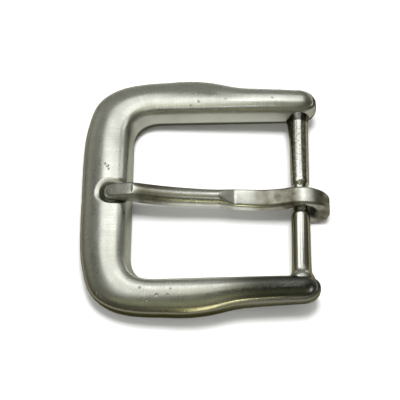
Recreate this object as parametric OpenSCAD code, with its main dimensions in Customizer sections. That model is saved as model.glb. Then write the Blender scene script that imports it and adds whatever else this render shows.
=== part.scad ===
// Belt buckle for a 38 mm strap: a cast frame with its heel bar, and a prong that swings on the bar.
// It lies as it does on a table: the front bar's lower edge and the prong's hook touch z = 0.
// +Z is up, the heel bar is parallel to Y, and the prong points along -X. Millimetres.

/* [Window] */
// Clear width between the two arms, where they leave the front corners
window_w = 40; // [38:0.5:44]
// Distance by which each arm closes in on the window towards the heel bar
arm_taper = 0.3; // [0:0.1:0.6]
// Distance from the front bar's inner wall to the axis of the heel bar
window_l = 37.1; // [36:0.1:39]
// Radius of the window's two front corners
window_r = 6; // [5:0.5:7]

/* [Frame] */
// Height of the crest of the frame above its flat back
crest_h = 6.8; // [6.5:0.1:7.5]
// Height of the heel bar's axis and of the mould's parting line above the back
bar_z = 2.2; // [2:0.1:2.4]
// Radius of the heel bar where it leaves the knobs
bar_end_r = 2.15; // [1.9:0.05:2.2]
// Radius of the heel bar at the shoulders beside its neck
bar_shoulder_r = 2.05; // [1.8:0.05:2.1]
// Radius of the neck that carries the prong
neck_r = 1.55; // [1.3:0.05:1.6]
// Length of the neck
neck_l = 6.2; // [5.8:0.1:7]
// Distance of the neck's middle from the middle of the frame
neck_y = -0.8; // [-1:0.1:0]
// Radius of the groove in the front bar that takes the prong's tip
notch_r = 3.5; // [3.2:0.1:3.8]
// Height of the groove's floor above the back
notch_floor_z = 4.7; // [4.6:0.1:5.0]

/* [Prong] */
// Clearance all round between the neck and the prong's eye
eye_clearance = 0.1; // [0.08:0.01:0.15]
// Distance of the tip's middle from the middle of the frame
tip_y = 0; // [-0.3:0.1:0.3]

/* [Hidden] */
$fn = 64;

half_w = window_w / 2;
front_l = half_w - window_r;
corner_l = window_r * PI / 2;
arm_l = window_l - window_r;
outline_l = front_l + corner_l + arm_l;

// Columns of FRAME: way along the window's edge from the middle of the front bar,
// width from the window's edge to the outer edge, and share of the crest height.
// The last row is at the heel bar's axis, where the knob begins to round off.
WAY = 0;
WIDTH = 1;
CREST = 2;
FRAME = [
    [0, 11.05, 1],
    [8, 11.05, 1],
    [13, 10.9, 1],
    [15.8, 10.75, 1],
    [17.8, 11.5, 1],
    [19.8, 10.7, 1],
    [21.2, 9.75, 1],
    [23, 9.2, 1],
    [29.6, 9.5, 1],
    [35.1, 9, 1],
    [40.6, 7.7, 0.98],
    [45.6, 7.3, 0.96],
    [outline_l, 6.9, 0.94],
];

// Columns of SECTION: fixed distance from the window's edge, or from the outer edge where the
// share is 1, share of the width, height as a share of the crest height, and distance kept
// from the knob's round end.
OFFSET = 0;
SHARE = 1;
HEIGHT = 2;
INSET = 3;
// Distance from the window's edge to where the face begins
rim = 1.3;
SECTION = [
    [1.0, 0, 0, 0.9],
    [0.25, 0, 0.107, 0.25],
    [0, 0, 0.31, 0],
    [0.62, 0, 0.647, 0.03],
    [0.85, 0, 0.735, 0.1],
    [1.12, 0, 0.794, 0.3],
    [rim, 0.04, 0.869, 0.5],
    [rim, 0.1, 0.914, 0.6],
    [rim, 0.19, 0.957, 0.6],
    [rim, 0.3, 0.988, 0.6],
    [rim, 0.427, 1, 0.6],
    [rim, 0.57, 0.988, 0.6],
    [rim, 0.7, 0.957, 0.6],
    [rim, 0.81, 0.914, 0.6],
    [rim, 0.884, 0.875, 0.6],
    [-0.45, 1, 0.81, 0.4],
    [-0.1, 1, 0.74, 0.2],
    [0, 1, 0.655, 0.05],
    [-0.27, 1, 0.45, 0],
    [-0.7, 1, 0.215, 0.25],
    [-1.35, 1, 0.065, 0.6],
    [-2.4, 1, 0, 0.9],
];

// The knob's width, its reach beyond the heel bar's axis, the angle at which its last section
// stands, and the height share of the edge on which its crown comes down
knob_w = FRAME[len(FRAME) - 1][WIDTH];
knob_l = 4.1;
knob_stop = 84;
knob_edge = 0.75;
// Number of sections along half of the front bar, a corner, an arm and a knob
front_steps = 6;
corner_steps = 10;
arm_steps = 14;
knob_steps = 8;

eye_r = neck_r + eye_clearance;
shoulder_l = 0.9;
// How far the heel bar reaches into a knob, and how far its cylinders run into each other
knob_depth = 2.4;
lap = 0.1;
// Distance of the groove's round end from the window's edge, and the groove's length
notch_x = 4.3;
notch_l = 10;

// Row of a table in which a value of its first column falls
function row_of(table, s, i = 0) =
    i >= len(table) - 2 || s < table[i + 1][WAY] ? i : row_of(table, s, i + 1);

// Slope of a column at a row, level at both ends of the table
function slope_at(table, i, col) =
    i == 0 || i == len(table) - 1 ? 0
    : (table[i + 1][col] - table[i - 1][col]) / (table[i + 1][WAY] - table[i - 1][WAY]);

// Smooth value of a column between the rows of a table
function smooth(table, s, col) =
    let (
        i = row_of(table, s),
        h = table[i + 1][WAY] - table[i][WAY],
        u = (s - table[i][WAY]) / h
    )
    (2 * u ^ 3 - 3 * u ^ 2 + 1) * table[i][col]
    + (u ^ 3 - 2 * u ^ 2 + u) * h * slope_at(table, i, col)
    + (3 * u ^ 2 - 2 * u ^ 3) * table[i + 1][col]
    + (u ^ 3 - u ^ 2) * h * slope_at(table, i + 1, col);

// Point on the window's edge at a way from the front bar's middle, and the outward direction there
function edge_angle(s) =
    s <= front_l ? 180 : s >= front_l + corner_l ? 90 : 180 - (s - front_l) / corner_l * 90;
function edge_point(s) =
    s <= front_l ? [-window_l, s]
    : s >= front_l + corner_l
        ? let (along = s - front_l - corner_l)
          [-window_l + window_r + along, half_w - arm_taper * along / arm_l]
    : [-window_l + window_r, front_l] + window_r * [cos(edge_angle(s)), sin(edge_angle(s))];

// Cross-section of the frame at a way along the window's edge
function ring_at(s) =
    let (p = edge_point(s), a = edge_angle(s), w = smooth(FRAME, s, WIDTH), c = smooth(FRAME, s, CREST))
    [for (q = SECTION)
        let (n = q[OFFSET] + q[SHARE] * (q[SHARE] < 1 ? w - rim : w))
        [p.x + n * cos(a), p.y + n * sin(a), q[HEIGHT] * c * crest_h]];

// Cross-section of the knob at an angle round its end, where the crown comes down to its edge
function knob_ring(a) =
    let (c = FRAME[len(FRAME) - 1][CREST], mid = half_w - arm_taper + knob_w / 2)
    [for (q = SECTION)
        let (
            n = q[OFFSET] + q[SHARE] * (q[SHARE] < 1 ? knob_w - rim : knob_w),
            over = max(q[HEIGHT] - knob_edge, 0),
            h = q[HEIGHT] - over * (1 - cos(a))
        )
        [(knob_l - q[INSET]) * sin(a), mid + (n - knob_w / 2) * cos(a), h * c * crest_h]];

half_rings = concat(
    [for (i = [0:front_steps - 1]) ring_at(front_l * i / front_steps)],
    [for (i = [0:corner_steps - 1]) ring_at(front_l + corner_l * i / corner_steps)],
    [for (i = [0:arm_steps]) ring_at(front_l + corner_l + arm_l * i / arm_steps)],
    [for (i = [1:knob_steps]) knob_ring(knob_stop * i / knob_steps)]
);

function mirrored(ring) = [for (p = ring) [p.x, -p.y, p.z]];

// Solid skin over a run of rings that all have the same number of points
module skin(rings) {
    count = len(rings);
    sides = len(rings[0]);
    points = [for (r = rings) each r];
    walls = [
        for (i = [0:count - 2], j = [0:sides - 1])
            let (a = i * sides + j, b = i * sides + (j + 1) % sides)
            each [[a, a + sides, b], [b, a + sides, b + sides]]
    ];
    // Each end is closed by a ladder between the two halves of its ring
    last = (count - 1) * sides;
    ends = [
        for (j = [0:floor(sides / 2) - 1])
            let (k = sides - 1 - j)
            each concat(
                j + 1 < k ? [[j, j + 1, k], [last + j, last + k, last + j + 1]] : [],
                j + 1 < k - 1
                    ? [[j + 1, k - 1, k], [last + j + 1, last + k, last + k - 1]] : []
            )
    ];
    polyhedron(points, concat(walls, ends));
}

// The frame before it is laid down: its back on z = 0 and the heel bar's axis on x = 0
module frame_casting() {
    skin(concat(
        [for (i = [len(half_rings) - 1:-1:0]) half_rings[i]],
        [for (i = [1:len(half_rings) - 1]) mirrored(half_rings[i])]
    ));
    heel_bar();
}

// The heel bar reaches into both knobs, and a cone leads from its neck to each shoulder
module heel_bar() {
    bar_l = half_w + knob_depth;
    translate([0, neck_y, bar_z]) rotate([-90, 0, 0]) {
        translate([0, 0, -neck_l / 2 - lap]) cylinder(h = neck_l + 2 * lap, r = neck_r);
        for (side = [-1, 1]) mirror([0, 0, side < 0 ? 1 : 0]) {
            translate([0, 0, neck_l / 2]) cylinder(h = shoulder_l, r1 = neck_r, r2 = bar_shoulder_r);
            translate([0, 0, neck_l / 2 + shoulder_l])
                cylinder(
                    h = bar_l - side * neck_y - neck_l / 2 - shoulder_l,
                    r1 = bar_shoulder_r,
                    r2 = bar_end_r
                );
        }
    }
}

// Groove with a round end, open towards the window
module notch() {
    translate([-window_l - notch_x, tip_y, notch_floor_z + notch_r]) {
        sphere(r = notch_r);
        rotate([0, 90, 0]) cylinder(h = notch_l, r = notch_r);
    }
}

// Columns of PRONG: centre of the section in x and z from the heel bar's axis, direction of the
// section's thickness, width, thickness, squareness (1 round, 0.6 nearly square), height of the
// flat on top as a share of half the thickness, and distance towards +Y from the neck's middle.
PX = 0;
PZ = 1;
TURN = 2;
PW = 3;
PT = 4;
SQUARE = 5;
TOP = 6;
PY = 7;
to_tip = tip_y - neck_y;
PRONG = [
    [-43.0, 1.85, 90, 1.5, 1.0, 1, 0.9, to_tip],
    [-42.7, 1.85, 90, 2.6, 1.8, 1, 0.8, to_tip],
    [-41.9, 1.8, 90, 3.3, 2.5, 1, 0.8, to_tip],
    [-40.4, 1.75, 90, 3.6, 2.8, 0.9, 0.75, to_tip],
    [-38.6, 1.75, 90, 3.9, 3.1, 0.9, 0.75, to_tip * 0.95],
    [-37.3, 1.7, 90, 4.15, 3.7, 1, 0.85, to_tip * 0.9],
    [-36.0, 1.55, 90, 4.35, 4.3, 1, 1, to_tip * 0.8],
    [-33, 1.3, 90, 4.4, 4.3, 1, 1, to_tip * 0.45],
    [-30, 1.1, 90, 4.35, 4.25, 1, 1, to_tip * 0.2],
    [-27, 0.9, 90, 4.25, 4.15, 1, 1, to_tip * 0.05],
    [-22, 0.65, 90, 4.05, 3.95, 1, 1, -0.05],
    [-17.8, 0.55, 90, 4, 3.85, 1, 1, -0.1],
    [-16.4, 0.45, 90, 4.15, 3.5, 0.9, 0.8, -0.12],
    [-14.6, 0.2, 90, 4.5, 2.7, 0.75, 0.95, -0.15],
    [-9, 0.1, 91, 4.65, 2.5, 0.62, 1, -0.2],
    [-6, 0.25, 95, 4.65, 2.7, 0.6, 1, -0.2],
    [-3.4, 0.65, 105, 4.6, 3.2, 0.6, 1, -0.15],
    [-1.3, 1.75, 105, 4.5, 2.1, 0.6, 1, -0.1],
    [0.6, 2.15, 84, 4.4, 1.4, 0.6, 1, -0.1],
    [2.4, 1.85, 70, 4.3, 1.6, 0.6, 1, -0.15],
    [3.9, 0.85, 50, 4.3, 2.6, 0.6, 1, -0.25],
    [4.8, -0.6, 25, 4.3, 3.3, 0.6, 1, -0.35],
    [5.0, -2.1, 2, 4.3, 3.5, 0.6, 1, -0.55],
    [4.6, -3.2, -25, 4.3, 3.7, 0.62, 1, -0.8],
    [3.4, -3.8, -60, 4.3, 3.3, 0.64, 1, -0.95],
    [1.8, -3.85, -90, 4.2, 3.2, 0.68, 1, -1],
    [0, -3.45, -105, 4.0, 2.5, 0.75, 1, -1],
    [-1.6, -2.9, -115, 3.4, 1.3, 0.85, 1, -1],
];
prong_sides = 16;

function curve(v, p) = sign(v) * abs(v) ^ p;
function prong_ring(q) =
    [for (j = [0:prong_sides - 1])
        let (
            a = (j + 0.5) * 360 / prong_sides,
            across = q[PW] / 2 * curve(cos(a), q[SQUARE]),
            out = q[PT] / 2 * min(curve(sin(a), q[SQUARE]), q[TOP])
        )
        [q[PX] + out * cos(q[TURN]), neck_y + q[PY] + across, q[PZ] + out * sin(q[TURN])]];

module prong_blank() {
    skin([for (q = PRONG) prong_ring(q)]);
}

// The hook stands on the table and carries the heel bar. The frame turns down about the bar's axis
// until the lower edge of the front bar touches the table as well.
prong_points = [for (q = PRONG) each prong_ring(q)];
bar_h = -min([for (p = prong_points) p.z]);
front_edge = [for (p = half_rings[0]) if (p.z < bar_z) [p.x, p.z - bar_z]];
lie_angle = min([for (p = front_edge) asin(bar_h / norm(p)) - 180 - atan2(p.y, p.x)]);

// The whole buckle's middle is on x = 0
hook_reach = max([for (p = prong_points) p.x]);
front_reach = -min([for (p = half_rings[0]) p.x * cos(lie_angle) - (p.z - bar_z) * sin(lie_angle)]);
bar_x = (front_reach - hook_reach) / 2;

module frame() {
    color([0.62, 0.62, 0.58])
    translate([bar_x, 0, bar_h]) rotate([0, -lie_angle, 0]) translate([0, 0, -bar_z])
    difference() {
        frame_casting();
        notch();
    }
}

module prong() {
    color([0.70, 0.70, 0.67])
    translate([bar_x, 0, bar_h])
    difference() {
        prong_blank();
        rotate([90, 0, 0]) cylinder(h = window_w / 2, r = eye_r, center = true);
    }
}

frame();
prong();
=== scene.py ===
import bmesh
import bpy
import math
from mathutils import Matrix, Vector


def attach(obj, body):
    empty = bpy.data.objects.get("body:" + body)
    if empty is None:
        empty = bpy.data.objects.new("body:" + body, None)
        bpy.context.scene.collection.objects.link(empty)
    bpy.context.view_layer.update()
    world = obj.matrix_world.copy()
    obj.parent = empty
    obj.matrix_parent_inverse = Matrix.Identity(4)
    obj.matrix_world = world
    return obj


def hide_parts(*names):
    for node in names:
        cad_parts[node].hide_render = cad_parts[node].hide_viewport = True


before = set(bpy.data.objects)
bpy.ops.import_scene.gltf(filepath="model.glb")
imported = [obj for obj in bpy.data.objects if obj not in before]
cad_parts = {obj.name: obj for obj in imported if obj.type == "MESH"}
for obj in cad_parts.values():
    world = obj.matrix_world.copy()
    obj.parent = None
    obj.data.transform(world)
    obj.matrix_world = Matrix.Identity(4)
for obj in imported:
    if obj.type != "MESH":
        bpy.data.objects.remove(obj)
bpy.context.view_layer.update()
milli = 0.001  # every piece is shaped in mm and laid down in metres

# how the buckle lies: the heel bar's axis, how many degrees the frame leans down to the front,
# and how high the axis is above the frame's back
lying = {
    "barX": 20.73,
    "barZ": 5.429,
    "lean": 4.054,
    "barAboveBack": 2.2,
}

# how near two points are, in mm, when they are taken as one
closing = {"doubles": 0.0005, "mirror": 0.001}

# what is added to the place across, to tell one kind of surface from another
zones = {"casting": 0, "bar": 2, "prong": 4}


# ---- hand tools shared by all pieces

def deselectAll():
    if bpy.context.object and bpy.context.object.mode == "EDIT":
        bpy.ops.object.mode_set(mode="OBJECT")
    bpy.ops.object.select_all(action="DESELECT")


def smoothValue(table, way, column):
    # a value of one column, on a smooth line through the rows
    last = len(table) - 1
    i = 0
    while i < last - 1 and way >= table[i + 1][0]:
        i += 1
    step = table[i + 1][0] - table[i][0]
    u = (way - table[i][0]) / step

    def slope(k):
        if k == 0 or k == last:
            return 0
        return (table[k + 1][column] - table[k - 1][column]) / (table[k + 1][0] - table[k - 1][0])

    return (
        (2 * u**3 - 3 * u**2 + 1) * table[i][column]
        + (u**3 - 2 * u**2 + u) * step * slope(i)
        + (3 * u**2 - 2 * u**3) * table[i + 1][column]
        + (u**3 - u**2) * step * slope(i + 1)
    )


def softMin(a, b, fillet):
    # the smaller of two, with a fillet where they meet
    h = max(fillet - abs(a - b), 0) / fillet
    return min(a, b) - h * h * fillet / 4


def markVertex(mesh, vertex, way, across):
    vertex[mesh.verts.layers.float["way"]] = way
    vertex[mesh.verts.layers.float["across"]] = across


def startRing(name, points, way):
    deselectAll()
    bpy.ops.mesh.primitive_circle_add(vertices=len(points), radius=1)
    piece = bpy.context.object
    piece.name = name
    piece.data.name = name
    bpy.ops.object.mode_set(mode="EDIT")
    mesh = bmesh.from_edit_mesh(piece.data)
    mesh.verts.layers.float.new("way")
    mesh.verts.layers.float.new("across")
    mesh.verts.ensure_lookup_table()
    for i, place in enumerate(points):
        mesh.verts[i].co = place
        mesh.verts[i].select_set(True)
        markVertex(mesh, mesh.verts[i], way, i / (len(points) - 1))
    mesh.select_flush(True)
    bmesh.update_edit_mesh(piece.data)
    return piece


def nearest(ring, place):
    return min(range(len(ring)), key=lambda i: (Vector(ring[i]) - place).length)


def nextRing(piece, last, points, way):
    # extrudes the open end and puts each new vertex in its place
    bpy.ops.mesh.extrude_region_move()
    mesh = bmesh.from_edit_mesh(piece.data)
    for vertex in [v for v in mesh.verts if v.select]:
        i = nearest(last, vertex.co)
        vertex.co = points[i]
        markVertex(mesh, vertex, way, i / (len(points) - 1))
    bmesh.update_edit_mesh(piece.data)


def ladderEnd(piece, ring):
    # closes an end with faces from one half of the ring, of an even number of points, to the other
    mesh = bmesh.from_edit_mesh(piece.data)
    count = len(ring)
    found = [min(mesh.verts, key=lambda v: (v.co - Vector(place)).length) for place in ring]
    for i in range(count // 2 - 1):
        mesh.faces.new((found[i], found[i + 1], found[count - 2 - i], found[count - 1 - i]))
    bmesh.update_edit_mesh(piece.data)


def sweepRings(name, rings, ways, closeStart=True):
    piece = startRing(name, rings[0], ways[0])
    for i in range(1, len(rings)):
        nextRing(piece, rings[i - 1], rings[i], ways[i])
    if closeStart:
        ladderEnd(piece, rings[0])
    ladderEnd(piece, rings[-1])
    bpy.ops.object.mode_set(mode="OBJECT")
    return piece


def applyModifier(piece, kind, **settings):
    bpy.context.view_layer.objects.active = piece
    modifier = piece.modifiers.new(kind.title(), kind)
    for key, value in settings.items():
        setattr(modifier, key, value)
    bpy.ops.object.modifier_apply(modifier=modifier.name)


def subdivide(piece, levels):
    applyModifier(piece, "SUBSURF", levels=levels, render_levels=levels)


def outward(piece):
    bpy.context.view_layer.objects.active = piece
    bpy.ops.object.mode_set(mode="EDIT")
    bpy.ops.mesh.select_all(action="SELECT")
    bpy.ops.mesh.remove_doubles(threshold=closing["doubles"])
    bpy.ops.mesh.normals_make_consistent(inside=False)
    bpy.ops.object.mode_set(mode="OBJECT")


def markSurface(piece, zone, signed=False):
    # makes a UV map of the way along the piece, in mm, and the place across it, 0 to 1 from the
    # zone's number
    data = piece.data
    way = [item.value for item in data.attributes["way"].data]
    across = [item.value for item in data.attributes["across"].data]
    layer = data.uv_layers.new(name="lay")
    for loop in data.loops:
        i = loop.vertex_index
        along = -way[i] if signed and data.vertices[i].co.y < 0 else way[i]
        layer.uv[loop.index].vector = (along, zone + across[i])
    data.attributes.remove(data.attributes["way"])
    data.attributes.remove(data.attributes["across"])


def layDown(piece, lean):
    # from millimetres at the heel bar's axis to its place in the part, in metres
    place = Matrix.Translation(Vector((lying["barX"], 0, lying["barZ"])) * milli)
    turn = Matrix.Rotation(math.radians(-lean), 4, "Y")
    piece.data.transform(place @ turn @ Matrix.Scale(milli, 4))
    for polygon in piece.data.polygons:
        polygon.use_smooth = True
    piece.data.update()


# ---- shader tools

class Socket:
    # wraps a node's output, so that sums are written as sums
    def __init__(self, tree, link):
        self.tree = tree
        self.link = link

    def math(self, operation, *values):
        node = addNode(self.tree, "ShaderNodeMath", {"operation": operation}, values)
        return Socket(self.tree, node.outputs[0])

    def __add__(self, other):
        return self.math("ADD", self, other)

    def __radd__(self, other):
        return self.math("ADD", other, self)

    def __sub__(self, other):
        return self.math("SUBTRACT", self, other)

    def __rsub__(self, other):
        return self.math("SUBTRACT", other, self)

    def __mul__(self, other):
        return self.math("MULTIPLY", self, other)

    def __rmul__(self, other):
        return self.math("MULTIPLY", other, self)

    def size(self):
        return self.math("ABSOLUTE", self)

    def larger(self, other):
        return self.math("MAXIMUM", self, other)

    def clamp(self):
        return self.math("MINIMUM", self.larger(0.0), 1.0)


def addNode(tree, kind, settings=None, values=()):
    node = tree.nodes.new(kind)
    for key, value in (settings or {}).items():
        if key == "ramp":
            ramp = node.color_ramp
            while len(ramp.elements) < len(value):
                ramp.elements.new(0.5)
            for element, (position, share) in zip(ramp.elements, value):
                element.position = position
                element.color = (share, share, share, 1)
        else:
            setattr(node, key, value)
    pairs = values.items() if isinstance(values, dict) else enumerate(values)
    for key, value in pairs:
        if isinstance(value, Socket):
            tree.links.new(value.link, node.inputs[key])
        else:
            node.inputs[key].default_value = value
    return node


def newMaterial(name):
    material = bpy.data.materials.new(name)
    material.use_nodes = True
    tree = material.node_tree
    shader = tree.nodes["Principled BSDF"]
    return material, tree, shader


# ---- nickel

nickel = {
    "colour": (0.61, 0.62, 0.575),
    # wall: darker colour for the window's wall, partly its duller as-cast finish, partly painted
    # shade
    "wall": (0.36, 0.365, 0.31),
    # olive: real patina and tone, also used for painted shade
    "olive": (0.17, 0.158, 0.112),
    # dark: near black for painted shade and shadow, and for real pits
    "dark": (0.025, 0.024, 0.019),
    # slate: painted dark reflection for the lower knob
    "slate": (0.115, 0.125, 0.118),
    # how much of the mirror light is left at a grazing look
    "edgeTint": (0.4, 0.4, 0.33),
    "blotchScale": 260,
    "blotchDetail": 3.0,
    # the value that a noise has on average
    "noiseMiddle": 0.5,
}

frameLook = {
    # the place across is 0 to 1 round the casting, from the window's foot over the crown to the
    # outer foot, and 2 to 3 round the heel bar, whose top is halfway
    "barStart": [1.4, 1.6],
    "barTopAt": 2.5,
    # where the window's wall ends, and where the outer shoulder has its painted shade
    "wallTop": [0.13, 0.185],
    "outerRim": [0.76, 0.86],
    # how much of that painted shade goes again low on the outer wall: from, to, share
    "lowWall": [0.93, 0.98, 0.6],
    # dark bands: start, full from, full to, end, share; the first is the parting line darkened with
    # painted contact shade, the inner rim and outer wall bands are painted shade
    "parting": [0.01, 0.02, 0.065, 0.085, 0.85],
    "innerRim": [0.14, 0.16, 0.175, 0.205, 0.5],
    "outerWall": [0.855, 0.88, 0.925, 0.97, 0.82],
    # the outer wall's painted shade is lighter toward the knobs: from X to X in mm, share
    "wallShadeEases": [-1, 14, 0.65],
    # way along the arm, in mm, where the knob's round end begins and where it is all painted shade
    "knobEnd": [58.6, 60.2],
    # painted shade darkens the arms toward the knobs: from X to X in mm, share, and the Y where each
    # arm is told from the other
    "upperKnob": [17, 25, 0.55],
    "upperArm": [0.0, 5.0],
    "lowerKnob": [1.5, 14, 1.0],
    "lowerArm": [-16.0, -8.0],
    # the lower arm turns slate grey, a painted dark reflection, less so where the outer rim has its
    # own painted shade
    "slate": 0.85,
    "slateRim": 0.6,
    # brush lines run across the casting: noise to the mm along it and in its whole width, and
    # where the lines end on the outer shoulder
    "brushAlong": 6.0,
    "brushAcross": 1.5,
    "brushDetail": 3.0,
    "brushEnd": [0.84, 0.88],
    "brushHeight": 0.000012,
    "brushDullFrom": 0.4,
    "brushDull": 0.5,
    # shares round the bar from its top where the bright top ends and the painted shade on its sides
    # is full
    "barTop": [0.045, 0.11],
    # painted shadow darkens the bar where it meets the upper knob: from Y to Y in mm, share
    "barEnd": [18.6, 18.9, 0.82],
    # specks on the bar, growing from Y to Y
    "speckleScale": 2300,
    "speckleDetail": 2.0,
    "speckle": 2.8,
    "speckleGrows": [-4.0, 3.0],
    "blotch": 0.4,
    # roughness of the crown, the bar and the window's wall, and what rim and blotches add
    "satin": 0.28,
    "polished": 0.17,
    "wallSatin": 0.4,
    "rimDull": 0.2,
    "blotchDull": 0.2,
    # place in X and Y, and radius, in mm
    "pits": [
        [-1.9, 22.9, 0.24], [4.2, 23.4, 0.2], [14.7, 23.5, 0.26], [-3.7, 22.1, 0.18],
        [-21.9, 6.6, 0.36], [-22.5, 7.2, 0.26], [-21.6, 5.8, 0.24], [-12.4, -26.5, 0.26],
        [-10.3, -25.5, 0.34], [-8.0, -25.5, 0.24], [-7.4, -24.1, 0.2], [-14.0, -23.7, 0.28],
        [-23.4, -24.4, 0.3], [-22.5, -25.2, 0.24],
    ],
    # where a pit's soft edge ends, against its radius squared
    "pitEdge": 1.5,
    "pitDepth": 0.00007,
    "pitDark": 0.25,
}

prongLook = {
    # way along the prong from its tip, share of patina and painted shade on its top
    "topPatinaAndShade": [
        [0, 0.28], [10, 0.4], [12.5, 0.15], [13.4, 0.1], [14.6, 0.8], [16.8, 0.8], [18.6, 0.45],
        [20.6, 0.1], [26, 0.05], [27.5, 0.5], [35, 0.5], [36.5, 0], [38.4, 0.05], [39.2, 0.3],
        [39.9, 0.66], [41, 0.75], [42.5, 0.8], [44.6, 0.92], [45.6, 0.6], [46.2, 0.1],
        [47.2, 0.15], [48.2, 0.65], [49.5, 0.85], [52, 0.95], [55.5, 0.9], [58, 0.45],
    ],
    "length": 62.4,
    # the place across is 4 to 5 round the prong, a quarter further on at its top
    "topAt": 4.25,
    # shares round the prong from its top where the sides' painted shade starts and is full
    "sides": [0.11, 0.2],
    "sideShade": 0.22,
    "blotchFiner": 2,
    "blotch": 0.5,
    # where patina and painted shade turn from olive to dark, and how fast
    "darkFrom": 0.75,
    "darkRise": 2,
    # roughness, and what blotches, patina and sides add
    "satin": 0.24,
    "blotchDull": 0.3,
    "patinaDull": 0.1,
    "sideDull": 0.15,
    "blotchHeight": 0.00001,
}


def between(value, low, high):
    # 0 at the low end, 1 at the high end
    settings = {"interpolation_type": "SMOOTHSTEP"}
    node = addNode(value.tree, "ShaderNodeMapRange", settings, (value, low, high))
    return Socket(value.tree, node.outputs[0])


def fade(value, low, high, share):
    return between(value, low, high) * share


def band(value, low, lowFull, highFull, high, share):
    return between(value, low, lowFull) * (1 - between(value, highFull, high)) * share


def mixColour(tree, share, first, second):
    node = addNode(tree, "ShaderNodeMix", {"data_type": "RGBA"}, {"Factor": share})
    for name, value in (("A", first), ("B", second)):
        socket = [item for item in node.inputs if item.name == name and item.type == "RGBA"][0]
        if isinstance(value, Socket):
            tree.links.new(value.link, socket)
        else:
            socket.default_value = (*value, 1)
    return Socket(tree, [item for item in node.outputs if item.type == "RGBA"][0])


def noise(tree, place, scale, detail):
    values = {"Vector": place, "Scale": scale, "Detail": detail}
    return Socket(tree, addNode(tree, "ShaderNodeTexNoise", {}, values).outputs[0])


def surfacePlaces(tree):
    # way along and place across from the UV map, and the object's own coordinates
    lay = Socket(tree, addNode(tree, "ShaderNodeUVMap", {"uv_map": "lay"}).outputs[0])
    parts = addNode(tree, "ShaderNodeSeparateXYZ", {}, (lay,))
    place = Socket(tree, addNode(tree, "ShaderNodeTexCoord").outputs["Object"])
    return Socket(tree, parts.outputs[0]), Socket(tree, parts.outputs[1]), place


def finishMetal(tree, shader, colour, roughness, height):
    # heights are in metres already, so the bump neither weakens nor stretches them
    values = {"Strength": 1.0, "Distance": 1.0, "Height": height}
    bump = addNode(tree, "ShaderNodeBump", {}, values)
    tree.links.new(colour.link, shader.inputs["Base Color"])
    tree.links.new(roughness.link, shader.inputs["Roughness"])
    tree.links.new(bump.outputs[0], shader.inputs["Normal"])
    shader.inputs["Metallic"].default_value = 1
    shader.inputs["Specular Tint"].default_value = (*nickel["edgeTint"], 1)


def brushLines(tree, way, across):
    f = frameLook
    lines = (way * f["brushAlong"], across * f["brushAcross"], 0.0)
    place = addNode(tree, "ShaderNodeCombineXYZ", {}, lines)
    return noise(tree, Socket(tree, place.outputs[0]), 1.0, f["brushDetail"])


def pitAt(x, y, pitX, pitY, radius):
    # 1 in the pit's middle
    dx, dy = x - pitX, y - pitY
    return 1 - between(dx * dx + dy * dy, 0.0, radius * radius * frameLook["pitEdge"])


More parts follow.
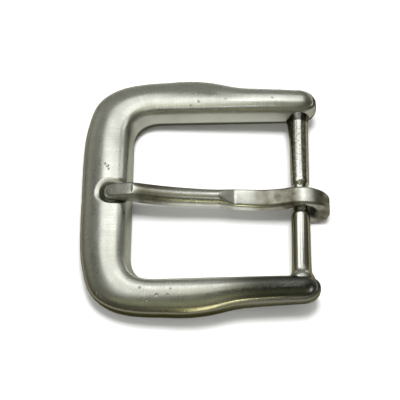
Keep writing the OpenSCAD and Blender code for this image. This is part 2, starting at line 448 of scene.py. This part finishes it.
def frameMaterial():
    n, f = nickel, frameLook
    material, tree, shader = newMaterial("satinNickel")
    way, across, place = surfacePlaces(tree)
    spots = addNode(tree, "ShaderNodeSeparateXYZ", {}, (place,))
    x, y = (Socket(tree, spots.outputs[i]) * (1 / milli) for i in (0, 1))

    # where each kind of surface is
    isBar = between(across, *f["barStart"])
    skin = 1 - isBar
    wall = (1 - between(across, *f["wallTop"])) * skin
    # rim: painted shade, an olive band on the outer shoulder where the metal would mirror the dim
    # front
    rim = between(across, *f["outerRim"]) * (1 - fade(across, *f["lowWall"])) * skin
    # innerRim: painted shade, a dark olive band on the crown's inner rim
    innerRim = band(across, *f["innerRim"]) * skin
    # upperKnob, lowerKnob and knobEnd: painted shade where the arms' mirror highlight fades toward
    # the knobs
    upperKnob = fade(x, *f["upperKnob"]) * between(y, *f["upperArm"])
    lowerKnob = fade(x, *f["lowerKnob"]) * (1 - between(y, *f["lowerArm"]))
    knobEnd = between(way.size(), *f["knobEnd"])
    brushed = (skin - wall) * (1 - between(across, *f["brushEnd"]))

    # patterns
    blotches = noise(tree, place, n["blotchScale"], n["blotchDetail"]) - n["noiseMiddle"]
    specks = noise(tree, place, f["speckleScale"], f["speckleDetail"]) - n["noiseMiddle"]
    specks = specks * f["speckle"] * isBar * between(y, *f["speckleGrows"])
    brush = brushLines(tree, way, across)
    pit = sum(pitAt(x, y, *spot) for spot in f["pits"])

    # olive for painted shade on the arms toward the knobs, the knob ends, both rims and the bar's
    # sides, with real specks on the bar; slate as a painted dark reflection toward the lower knob;
    # near black as painted shade on the outer wall, painted shadow at the bar's end, the parting
    # line with painted contact shade, and real pits
    # painted shade on the bar's sides, where they would mirror the shadowed floor
    barSideShade = between((across - f["barTopAt"]).size(), *f["barTop"]) * isBar
    shadeAndSpecks = ((upperKnob + lowerKnob) * skin).larger(knobEnd * skin).larger(rim).larger(innerRim)
    shadeAndSpecks = shadeAndSpecks.larger((barSideShade + specks).clamp())
    # slate: painted dark reflection on the lower arm toward its knob
    slate = lowerKnob * skin * (1 - rim * f["slateRim"]) * f["slate"]
    # painted shade on the outer wall, standing for the shadowed floor that it mirrors, lighter
    # toward the knobs
    dark = band(across, *f["outerWall"]) * skin * (1 - fade(x, *f["wallShadeEases"]))
    # painted shadow at the bar's end under the upper knob, and the parting line at the wall's foot
    # darkened with painted contact shade
    dark = dark.larger(fade(y, *f["barEnd"]) * isBar).larger(band(across, *f["parting"]) * skin)
    brushDull = (brush - f["brushDullFrom"]).clamp() * brushed * f["brushDull"]
    # the window's wall gets the darker colour: partly its duller as-cast finish, partly painted
    # shade
    colour = mixColour(tree, wall, n["colour"], n["wall"])
    colour = mixColour(tree, shadeAndSpecks, colour, n["olive"])
    colour = mixColour(tree, slate, colour, n["slate"])
    colour = mixColour(tree, dark.larger(pit * f["pitDark"]), colour, n["dark"])
    colour = mixColour(tree, blotches.clamp() * f["blotch"], colour, n["olive"])
    colour = mixColour(tree, brushDull, colour, n["olive"])

    roughness = (
        f["satin"] + (f["wallSatin"] - f["satin"]) * wall + innerRim * f["rimDull"]
        + (f["polished"] - f["satin"]) * isBar + blotches * f["blotchDull"]
    )
    height = brush * f["brushHeight"] * brushed - pit * skin * f["pitDepth"]
    finishMetal(tree, shader, colour, roughness, height)
    return material


def prongMaterial():
    n, p = nickel, prongLook
    material, tree, shader = newMaterial("polishedNickel")
    way, across, place = surfacePlaces(tree)
    ramp = [(at / p["length"], share) for at, share in p["topPatinaAndShade"]]
    # real patina along the prong's top, with painted shade where facets face away from the light
    patinaShadeAlong = addNode(tree, "ShaderNodeValToRGB", {"ramp": ramp}, (way * (1 / p["length"]),))
    patinaShadeAlong = Socket(tree, patinaShadeAlong.outputs[0])
    # painted shade on the prong's sides
    side = between((across - p["topAt"]).size(), *p["sides"])
    blotches = noise(tree, place, n["blotchScale"] * p["blotchFiner"], n["blotchDetail"])
    spread = blotches - n["noiseMiddle"]
    # patina, painted shade and random blotches, mixed toward olive and then near black
    patinaShadeAndBlotches = patinaShadeAlong.larger(side * p["sideShade"]) + spread * p["blotch"]
    colour = mixColour(tree, patinaShadeAndBlotches.clamp(), n["colour"], n["olive"])
    dark = ((patinaShadeAndBlotches - p["darkFrom"]) * p["darkRise"]).clamp()
    colour = mixColour(tree, dark, colour, n["dark"])
    roughness = (
        p["satin"] + spread * p["blotchDull"] + patinaShadeAlong * p["patinaDull"] + side * p["sideDull"]
    )
    finishMetal(tree, shader, colour, roughness, blotches * p["blotchHeight"])
    return material


satinNickel = frameMaterial()
polishedNickel = prongMaterial()


# ---- frame: crown, arms and knobs

casting = {
    "windowWidth": 40,
    "armTaper": 0.3,
    "windowLength": 37.1,
    "cornerRadius": 6,
    "crest": 6.8,
    "rim": 1.3,
    # how far the rim swells into the window's corners, and the share of height where it is full
    "rimSwell": 0.85,
    "swellFull": 0.7,
    "levels": 2,
    # the knob's round end: how far it goes past the arm, how much less far on the crown, the
    # share of height that it keeps, and the turns at which it has a ring
    "knobReach": 4.1,
    "crownInset": 0.6,
    "knobEdge": 0.68,
    "knobTurns": [0, 12, 24, 36, 48, 60, 72, 84],
    "frontWays": [0, 0.55, 1.1, 1.65, 2.2, 2.75, 3.3, 3.85, 4.4, 5, 6, 7.5, 9, 10.6, 12.4],
    "cornerSteps": 10,
    "armSteps": 15,
    # way along the window's edge, width of the frame there, share of the crest's height
    "widths": [
        [0, 11.05, 1], [8, 11.05, 1], [13, 10.9, 1], [15.8, 10.75, 1], [17.8, 11.5, 1],
        [19.8, 10.7, 1], [21.2, 9.75, 1], [23, 9.2, 1], [29.6, 9.5, 1], [35.1, 9, 1],
        [40.6, 7.7, 0.98], [45.6, 7.3, 0.97], [50, 7.1, 0.955], [54.525, 6.9, 0.915],
    ],
    # share of the width from the window's rim, and share of the crest's height
    "crown": [
        [0, 0.826], [0.037, 0.868], [0.085, 0.907], [0.146, 0.941], [0.207, 0.963], [0.28, 0.984],
        [0.366, 0.997], [0.427, 1], [0.524, 0.996], [0.622, 0.979], [0.73, 0.949], [0.817, 0.912],
        [0.884, 0.875], [0.96, 0.82],
    ],
    "crownShares": [
        0.018, 0.037, 0.06, 0.085, 0.115, 0.146, 0.176, 0.207, 0.243, 0.28, 0.322, 0.366, 0.427,
        0.475, 0.524, 0.573, 0.622, 0.676, 0.73, 0.773, 0.817, 0.85, 0.884,
    ],
    # distance from the window's edge, share of the crest's height, inset at the knob's end
    "inside": [
        [1, 0, 0.9], [0.25, 0.107, 0.25], [0.02, 0.29, 0], [0.02, 0.33, 0], [0.3, 0.485, 0],
        [0.62, 0.647, 0.03], [0.85, 0.735, 0.1], [1.12, 0.794, 0.3],
    ],
    # the same from the outer edge
    "outside": [
        [-0.45, 0.81, 0.4], [-0.1, 0.74, 0.2], [0, 0.655, 0.05],
        [-0.27, 0.45, 0], [-0.7, 0.215, 0.25], [-1.35, 0.065, 0.6], [-2.4, 0, 0.9],
    ],
}


def windowEdge(way):
    # place on the window's edge, and the direction away from the window
    c = casting
    half, radius = c["windowWidth"] / 2, c["cornerRadius"]
    front = half - radius
    corner = radius * math.pi / 2
    if way <= front:
        return -c["windowLength"], way, math.pi
    if way >= front + corner:
        along = way - front - corner
        taper = c["armTaper"] * along / (c["windowLength"] - radius)
        return -c["windowLength"] + radius + along, half - taper, math.pi / 2
    turn = math.pi - (way - front) / radius
    return (
        -c["windowLength"] + radius * (1 + math.cos(turn)),
        front + radius * math.sin(turn),
        turn,
    )


def sectionRows(width, crestShare):
    # out from the window's edge, height, inset at the knob's end
    c = casting
    rows = [(out, high, inset) for out, high, inset in c["inside"]]
    for share in c["crownShares"]:
        high = smoothValue(c["crown"], share, 1)
        rows.append((c["rim"] + share * (width - c["rim"]), high, c["crownInset"]))
    rows += [(width + out, high, inset) for out, high, inset in c["outside"]]
    return [(out, high * crestShare, inset) for out, high, inset in rows]


def frameRing(way):
    x, y, turn = windowEdge(way)
    c = casting
    width = smoothValue(c["widths"], way, 1)
    front = c["windowWidth"] / 2 - c["cornerRadius"]
    corner = min(max((way - front) / (c["cornerRadius"] * math.pi / 2), 0), 1)
    swell = c["rimSwell"] * math.sin(math.pi * corner) ** 2
    ring = []
    for out, high, inset in sectionRows(width, smoothValue(c["widths"], way, 2)):
        if out < width:
            out += swell * min(high / c["swellFull"], 1) * (1 - out / width) ** 2
        ring.append((
            x + out * math.cos(turn),
            y + out * math.sin(turn),
            high * c["crest"] - lying["barAboveBack"],
        ))
    return ring


def knobRing(degrees):
    c = casting
    turn = math.radians(degrees)
    endWay, width, crestShare = c["widths"][-1]
    middle = c["windowWidth"] / 2 - c["armTaper"] + width / 2
    ring = []
    for out, high, inset in sectionRows(width, crestShare):
        edge = c["knobEdge"] * crestShare
        high -= max(high - edge, 0) * (1 - math.cos(turn))
        ring.append((
            (c["knobReach"] - inset) * math.sin(turn),
            middle + (out - width / 2) * math.cos(turn),
            high * c["crest"] - lying["barAboveBack"],
        ))
    return ring


def buildFrameSkin():
    c = casting
    front = c["windowWidth"] / 2 - c["cornerRadius"]
    corner = c["cornerRadius"] * math.pi / 2
    arm = c["windowLength"] - c["cornerRadius"]
    ways = list(c["frontWays"])
    ways += [front + corner * i / c["cornerSteps"] for i in range(c["cornerSteps"])]
    ways += [front + corner + arm * i / c["armSteps"] for i in range(c["armSteps"])]
    rings = [frameRing(way) for way in ways] + [knobRing(turn) for turn in c["knobTurns"]]
    ways += [c["widths"][-1][0] + c["knobReach"] * math.radians(turn) for turn in c["knobTurns"]]
    piece = sweepRings("buckleFrame", rings, ways, closeStart=False)
    halves = {"use_axis": (False, True, False), "use_clip": True}
    applyModifier(piece, "MIRROR", merge_threshold=closing["mirror"], **halves)
    outward(piece)
    subdivide(piece, c["levels"])
    markSurface(piece, zones["casting"], signed=True)
    return piece


# ---- frame: the groove that takes the prong's tip

groove = {
    # where its round end is centred in X and Y, and the X that the press stays in front of
    "end": -41.4,
    "side": 0.0,
    "pressedTo": -30,
    "radius": 2.85,
    "floor": 4.7,
    "lip": 0.5,
    # the round tool: how far out it reaches and where its wall starts, as shares of the radius,
    # and the wall's slope
    "toolReach": 1.2,
    "toolWall": 0.999,
    "toolSlope": 8,
    # the worn rim round the groove, deepest at its edge and left out on the near side
    "wornWidth": 1.1,
    "wornDepth": 0.28,
    "wornSide": [-2.8, -0.8],
}


def pressGroove(piece):
    g = groove
    radius = g["radius"]
    centre = g["floor"] + radius - lying["barAboveBack"]
    low, high = g["wornSide"]
    for vertex in piece.data.vertices:
        x, y, z = vertex.co
        if x > g["pressedTo"] or z < 0:
            continue
        reach = math.hypot(min(x - g["end"], 0), y - g["side"])
        near = min(max((y - low) / (high - low), 0), 1)
        worn = max(1 - max(reach - radius, 0) / g["wornWidth"], 0)
        vertex.co.z = z = z - g["wornDepth"] * worn ** 2 * near
        if reach < radius * g["toolReach"]:
            inside = radius ** 2 - min(reach, radius * g["toolWall"]) ** 2
            tool = centre - math.sqrt(inside) + max(reach - radius, 0) * g["toolSlope"]
            vertex.co.z = softMin(z, tool, g["lip"])


# ---- frame: heel bar

heelBar = {
    "sides": 32,
    "neckY": -0.8,
    # distance from the neck's middle, radius
    "upper": [
        [3.0, 1.55], [3.15, 1.58], [3.9, 2.0], [4.15, 2.05], [6, 2.07], [10, 2.09], [14, 2.11],
        [17, 2.13], [19, 2.15], [20, 2.2], [20.6, 2.25], [21.2, 2.4], [22, 2.5], [23, 2.5],
    ],
    "lower": [
        [3.0, 1.55], [3.15, 1.58], [3.9, 2.0], [4.15, 2.05], [6, 2.07], [10, 2.09], [14, 2.12],
        [16.6, 2.14], [18, 2.2], [18.7, 2.5], [19.2, 2.9], [20.5, 3.1], [21.4, 3.1],
    ],
    # the flash line: the Y where it starts, how far it stands out after how many mm more, and
    # how high it reaches above and below the parting plane
    "flashStart": 12,
    "flashReach": 0.6,
    "flashRun": 8,
    "flashHeight": 0.5,
    "levels": 2,
}


def buildHeelBar():
    b = heelBar
    stations = [(b["neckY"] - way, radius) for way, radius in reversed(b["lower"])]
    stations += [(b["neckY"] + way, radius) for way, radius in b["upper"]]
    rings = []
    for y, radius in stations:
        ring = []
        for i in range(b["sides"]):
            turn = 2 * math.pi * (i + 0.5) / b["sides"] - math.pi / 2
            x, z = radius * math.cos(turn), radius * math.sin(turn)
            if y > b["flashStart"] and abs(z) < b["flashHeight"] and x < 0:
                x -= b["flashReach"] * ((y - b["flashStart"]) / b["flashRun"]) ** 2
            ring.append((x, y, z))
        rings.append(ring)
    piece = sweepRings("heelBarPart", rings, [y for y, radius in stations])
    outward(piece)
    subdivide(piece, b["levels"])
    markSurface(piece, zones["bar"])
    return piece


skin = buildFrameSkin()
pressGroove(skin)
bar = buildHeelBar()
deselectAll()
bar.select_set(True)
skin.select_set(True)
bpy.context.view_layer.objects.active = skin
bpy.ops.object.join()
layDown(skin, lying["lean"])
skin.data.materials.append(satinNickel)
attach(skin, "frame")
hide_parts("frame")
print("frame made,", len(skin.data.polygons), "faces")


# ---- prong

prongShape = {
    "neckY": -0.8,
    "tipY": 0.8,
    "bore": 1.66,
    "levels": 2,
    # way counted from one station to the next
    "stationStep": 1.6,
    # x, z, turn of the thickness, width, thickness, 1 round to 0 strap, share of tipY
    "stations": [
        [-43.1, 1.15, 90, 1.4, 1.2, 1, 1],
        [-42.85, 1.15, 90, 2.6, 2.0, 0.9, 1],
        [-42.2, 1.2, 90, 3.4, 2.35, 0.6, 1],
        [-41.3, 1.3, 90, 3.7, 2.6, 0.45, 1],
        [-40.2, 1.4, 90, 3.8, 2.85, 0.4, 1],
        [-39.2, 1.5, 90, 3.9, 3.1, 0.4, 0.97],
        [-38.4, 1.57, 90, 4.0, 3.35, 0.4, 0.95],
        [-37.6, 1.62, 90, 4.1, 3.6, 0.5, 0.92],
        [-36.9, 1.62, 90, 4.25, 3.9, 0.7, 0.88],
        [-36.0, 1.55, 90, 4.4, 4.3, 1, 0.8],
        [-33, 1.3, 90, 4.4, 4.3, 1, 0.45],
        [-30, 1.1, 90, 4.35, 4.25, 1, 0.2],
        [-27, 0.9, 90, 4.25, 4.15, 1, 0.05],
        [-24, 0.75, 90, 4.1, 4.0, 1, -0.02],
        [-21, 0.63, 90, 4.05, 3.95, 1, -0.08],
        [-18.8, 0.58, 90, 4.0, 3.9, 1, -0.12],
        [-18.1, 0.57, 90, 4.0, 3.9, 1, -0.12],
        [-17.6, 0.55, 90, 4.02, 3.85, 0.95, -0.13],
        [-17.1, 0.52, 90, 4.06, 3.7, 0.85, -0.13],
        [-16.5, 0.48, 90, 4.12, 3.55, 0.7, -0.14],
        [-15.9, 0.42, 90, 4.22, 3.35, 0.5, -0.15],
        [-15.3, 0.33, 90, 4.35, 3.05, 0.3, -0.17],
        [-14.8, 0.26, 90, 4.45, 2.8, 0.12, -0.18],
        [-14.2, 0.2, 90, 4.52, 2.6, 0, -0.19],
        [-12, 0.15, 90, 4.6, 2.5, 0, -0.22],
        [-9, 0.1, 91, 4.65, 2.45, 0, -0.25],
        [-6, 0.25, 95, 4.65, 2.7, 0, -0.25],
        [-3.4, 0.65, 105, 4.6, 3.2, 0, -0.2],
        [-1.3, 1.75, 105, 4.5, 2.1, 0, -0.14],
        [0.6, 2.15, 84, 4.4, 1.4, 0, -0.12],
        [2.4, 1.85, 70, 4.3, 1.6, 0, -0.19],
        [3.9, 0.85, 50, 4.3, 2.6, 0, -0.31],
        [4.8, -0.6, 25, 4.3, 3.3, 0, -0.44],
        [5.0, -2.1, 2, 4.3, 3.5, 0, -0.69],
        [4.6, -3.2, -25, 4.3, 3.7, 0.05, -1],
        [3.4, -3.8, -60, 4.3, 3.3, 0.1, -1.19],
        [1.8, -3.85, -90, 4.2, 3.2, 0.2, -1.25],
        [0, -3.45, -105, 4.0, 2.5, 0.4, -1.25],
        [-1.4, -2.95, -113, 3.5, 1.5, 0.7, -1.25],
        [-1.75, -2.85, -115, 2.4, 0.8, 1, -1.25],
    ],
    # a quarter of the strap's outline, from its side to its top
    "strapQuarter": [
        (1, 0.16), (1, 0.4), (0.985, 0.54), (0.88, 0.82), (0.8, 0.97), (0.72, 1), (0.26, 1),
    ],
    # flats hammered on top: from x, height there, to x, height there
    "flats": [[-46, 1.42, -37.0, 3.5], [-17.9, 2.52, -14.3, 1.36]],
    "flatEdge": 0.25,
}


def prongRing(row):
    p = prongShape
    x, z, turn, width, thick, rounded, side = row
    turn = math.radians(turn)
    quarter = p["strapQuarter"]
    count = len(quarter)
    outline = []
    for i, (u, v) in enumerate(quarter):
        angle = math.pi / 2 * (i + 0.5) / count
        outline.append((
            rounded * math.cos(angle) + (1 - rounded) * u,
            rounded * math.sin(angle) + (1 - rounded) * v,
        ))
    outline += [(-u, v) for u, v in reversed(outline)]
    outline += [(-u, -v) for u, v in outline]
    ring = []
    for u, v in outline:
        up = v * thick / 2
        ring.append((
            x + up * math.cos(turn),
            p["neckY"] + side * p["tipY"] + u * width / 2,
            z + up * math.sin(turn),
        ))
    return ring


def buildProng():
    p = prongShape
    ways = [i * p["stationStep"] for i in range(len(p["stations"]))]
    piece = sweepRings("buckleProng", [prongRing(row) for row in p["stations"]], ways)
    outward(piece)
    subdivide(piece, p["levels"])
    markSurface(piece, zones["prong"])
    for vertex in piece.data.vertices:
        x, y, z = vertex.co
        for x0, z0, x1, z1 in p["flats"]:
            if x0 < x < x1:
                flat = z0 + (z1 - z0) * (x - x0) / (x1 - x0)
                vertex.co.z = softMin(z, flat, p["flatEdge"])
        reach = math.hypot(x, z)
        if reach < p["bore"]:
            vertex.co.x *= p["bore"] / reach
            vertex.co.z *= p["bore"] / reach
    return piece


prong = buildProng()
layDown(prong, 0)
prong.data.materials.append(polishedNickel)
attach(prong, "prong")
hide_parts("prong")
print("prong made,", len(prong.data.polygons), "faces")


# ---- floor, light and camera

studio = {
    "floorSize": 1.6,
    "floorColour": (0.86, 0.86, 0.86),
    "floorRoughness": 0.9,
    "worldColour": (0.12, 0.12, 0.095),
    "worldStrength": 1.0,
    # degrees of spread at which a lamp is wide open
    "openSpread": 180,
    # name, place, point it faces, size in mm, radiance, colour, spread; these show in the metal
    "metalLamps": [
        ["softbox", (-21.5, 32.6, 71.3), (-21.5, 18.3, 0), (50, 22), 1.64, (1, 1, 0.99), 180],
        ["softboxLeft", (-37.2, 3.2, 77.2), (-37.2, -12.2, 0), (18.5, 38), 1.6, (1, 1, 0.99), 180],
        ["softboxArm", (-24.2, 3.2, 77.2), (-24.2, -12.2, 0), (7.5, 38), 0.2, (1, 0.98, 0.85), 180],
        ["softboxBelly", (-16.2, 7.6, 76.3), (-16.2, -7.7, 0), (8.5, 29), 1.4, (1, 0.99, 0.86), 180],
        ["softboxWaist", (-4.2, 9.1, 76), (-4.2, -6.1, 0), (15.5, 26), 0.8, (1, 0.99, 0.84), 180],
        ["softboxEnd", (19, 40, 40), (19, 30, 0), (30, 36), 1.8, (1, 1, 0.99), 100],
        ["softboxCorner", (-32, 57.5, 70), (-25, 17, 7), (28, 29), 1.5, (1, 1, 0.99), 110],
        ["softboxFade", (-7, 50, 72), (-7, 20, 7), (22, 14), 0.4, (1, 1, 0.99), 180],
        ["softboxNear", (-6, -27.5, 75), (-2, 21.5, 8), (40, 24), 1.4, (1, 1, 0.99), 50],
        ["softboxInner", (-6, 52, 72), (-20, 12, 7), (24, 18), 1.1, (1, 1, 0.99), 40],
        ["softboxSide", (6, 31, 75), (-42, 0, 0), (14, 60), 1.6, (1, 1, 0.99), 64],
        ["strapFade", (9, 14.5, 40), (9, -1, 7), (11, 11), 0.55, (1, 1, 0.99), 50],
        ["strapLamp", (9, 25.5, 40), (9, 4, 7), (11, 11), 1.25, (1, 1, 0.99), 50],
        ["hookLamp", (35, 16, 40), (22, -1, 9), (16, 16), 1.15, (1, 1, 0.99), 50],
        ["barLamp", (21, 9, 40), (21, -10, 6), (14, 22), 1.9, (1, 1, 0.99), 50],
        ["backCard", (0, 400, 150), (0, 0, 60), (1500, 480), 0.15, (1, 1, 0.98), 180],
        ["leftCard", (-420, 60, 160), (0, 0, 60), (700, 420), 0.13, (1, 0.97, 0.82), 180],
        ["frontCard", (0, -400, 150), (0, 0, 60), (1200, 400), 0.06, (1, 0.98, 0.8), 180],
        ["topCard", (0, -110, 380), (0, 0, 0), (500, 90), 0.25, (1, 1, 0.5), 180],
        ["frontLamp", (7, -57.6, 19.6), (3, -28.4, 7.5), (22, 6.5), 11, (1, 0.97, 0.64), 30],
        ["knobGlint", (17.8, -4.1, 60), (17.8, -23.8, 9.4), (3, 4), 13, (1, 1, 0.99), 44],
        ["knobEndGlint", (52.5, -29.4, 45), (22.4, -24.7, 9), (6, 6), 22, (1, 1, 0.99), 44],
        ["frontGlow", (5, -56, 29), (2, -27.5, 7.5), (34, 14), 0.9, (1, 0.88, 0.3), 60],
    ],
    # the same, for lamps that light the floor and don't show in the metal
    "floorLamps": [
        ["floorLamp", (10, 32, 600), (0, 0, 0), (200, 200), 29, (1, 1, 1), 180],
        ["floorFront", (0, -300, 70), (0, -30, 0), (400, 50), 7, (1, 1, 1), 180],
        ["floorFill", (0, 0, 500), (0, 0, 0), (1200, 1200), 0.62, (1, 1, 1), 180],
    ],
}

# where the camera stands: degrees, and metres but for the lens and sensor in mm
view = {
    "turn": 0.1,
    "height": 60.5,
    "roll": 0.5,
    "distance": 0.39,
    "target": (-0.00133, 0.00205, 0),
    "nearest": 0.01,
    "lens": 157.1,
    "sensor": 36,
}


def hangLamp(name, place, aim, size, radiance, colour, spread):
    lamp = bpy.data.lights.new(name, "AREA")
    lamp.shape = "RECTANGLE"
    lamp.size, lamp.size_y = size[0] * milli, size[1] * milli
    lamp.energy = radiance * math.pi * lamp.size * lamp.size_y
    if spread < studio["openSpread"]:
        # a narrow lamp is brighter straight ahead, so its energy is cut to hold the radiance
        lamp.spread = math.radians(spread)
        lamp.energy *= 1 - lamp.spread / 2 / math.tan(lamp.spread / 2)
    lamp.color = colour
    holder = bpy.data.objects.new(name, lamp)
    bpy.context.scene.collection.objects.link(holder)
    holder.location = Vector(place) * milli
    away = Vector(place) - Vector(aim)
    holder.rotation_euler = away.to_track_quat("Z", "Y").to_euler()
    holder.visible_camera = False
    return holder


def buildStudio():
    s = studio
    deselectAll()
    bpy.ops.mesh.primitive_plane_add(size=s["floorSize"])
    floor = bpy.context.object
    floor.name = "floor"
    material, tree, shader = newMaterial("paleFloor")
    shader.inputs["Base Color"].default_value = (*s["floorColour"], 1)
    shader.inputs["Roughness"].default_value = s["floorRoughness"]
    shader.inputs["Specular IOR Level"].default_value = 0
    floor.data.materials.append(material)
    for row in s["metalLamps"]:
        hangLamp(*row).visible_diffuse = False
    for row in s["floorLamps"]:
        hangLamp(*row).visible_glossy = False
    world = bpy.data.worlds.new("studio")
    world.use_nodes = True
    background = world.node_tree.nodes["Background"]
    background.inputs[0].default_value = (*s["worldColour"], 1)
    background.inputs[1].default_value = s["worldStrength"]
    bpy.context.scene.world = world


def buildCamera():
    v = view
    turn, height = math.radians(v["turn"]), math.radians(v["height"])
    data = bpy.data.cameras.new("camera")
    data.lens = v["lens"]
    data.sensor_width = v["sensor"]
    data.clip_start = v["nearest"]
    camera = bpy.data.objects.new("camera", data)
    bpy.context.scene.collection.objects.link(camera)
    back = Vector((
        math.sin(turn) * math.cos(height),
        -math.cos(turn) * math.cos(height),
        math.sin(height),
    ))
    camera.location = Vector(v["target"]) + back * v["distance"]
    camera.rotation_euler = (math.pi / 2 - height, 0, turn)
    camera.rotation_euler.rotate_axis("Z", math.radians(v["roll"]))
    bpy.context.scene.camera = camera


buildStudio()
buildCamera()
bpy.context.scene.view_settings.view_transform = "Standard"
print("studio made")
